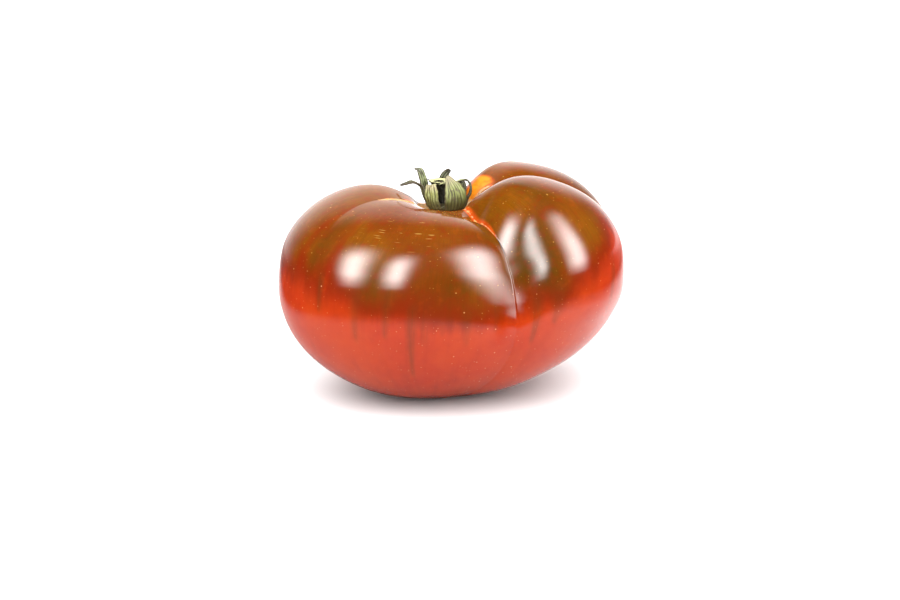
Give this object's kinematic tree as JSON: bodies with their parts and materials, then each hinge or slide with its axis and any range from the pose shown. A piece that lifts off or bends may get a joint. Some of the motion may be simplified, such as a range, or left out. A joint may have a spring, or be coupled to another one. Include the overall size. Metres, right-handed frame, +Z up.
{
  "type": "tomato",
  "caption": "Ripe ribbed beefsteak tomato, wider than tall, with deep furrows, a dried calyx and a short stem stub.",
  "frame": {"origin": "middle of the box on the ground, under the flat spot that the fruit rests on", "axes": "+Z up along the stem; +X along the fruit's longest side; -Y is the side with the deep front furrow"},
  "size_m": [0.0989, 0.0814, 0.0656],
  "materials": {
    "skin": "glossy, olive brown on the shoulders and red below",
    "dried_leaf": "matt, dry",
    "stem": "matt, dry"
  },
  "bodies": {
    "root": {"fruit": "skin", "calyx": "dried_leaf", "stem_stub": "stem"}
  },
  "joints": []
}
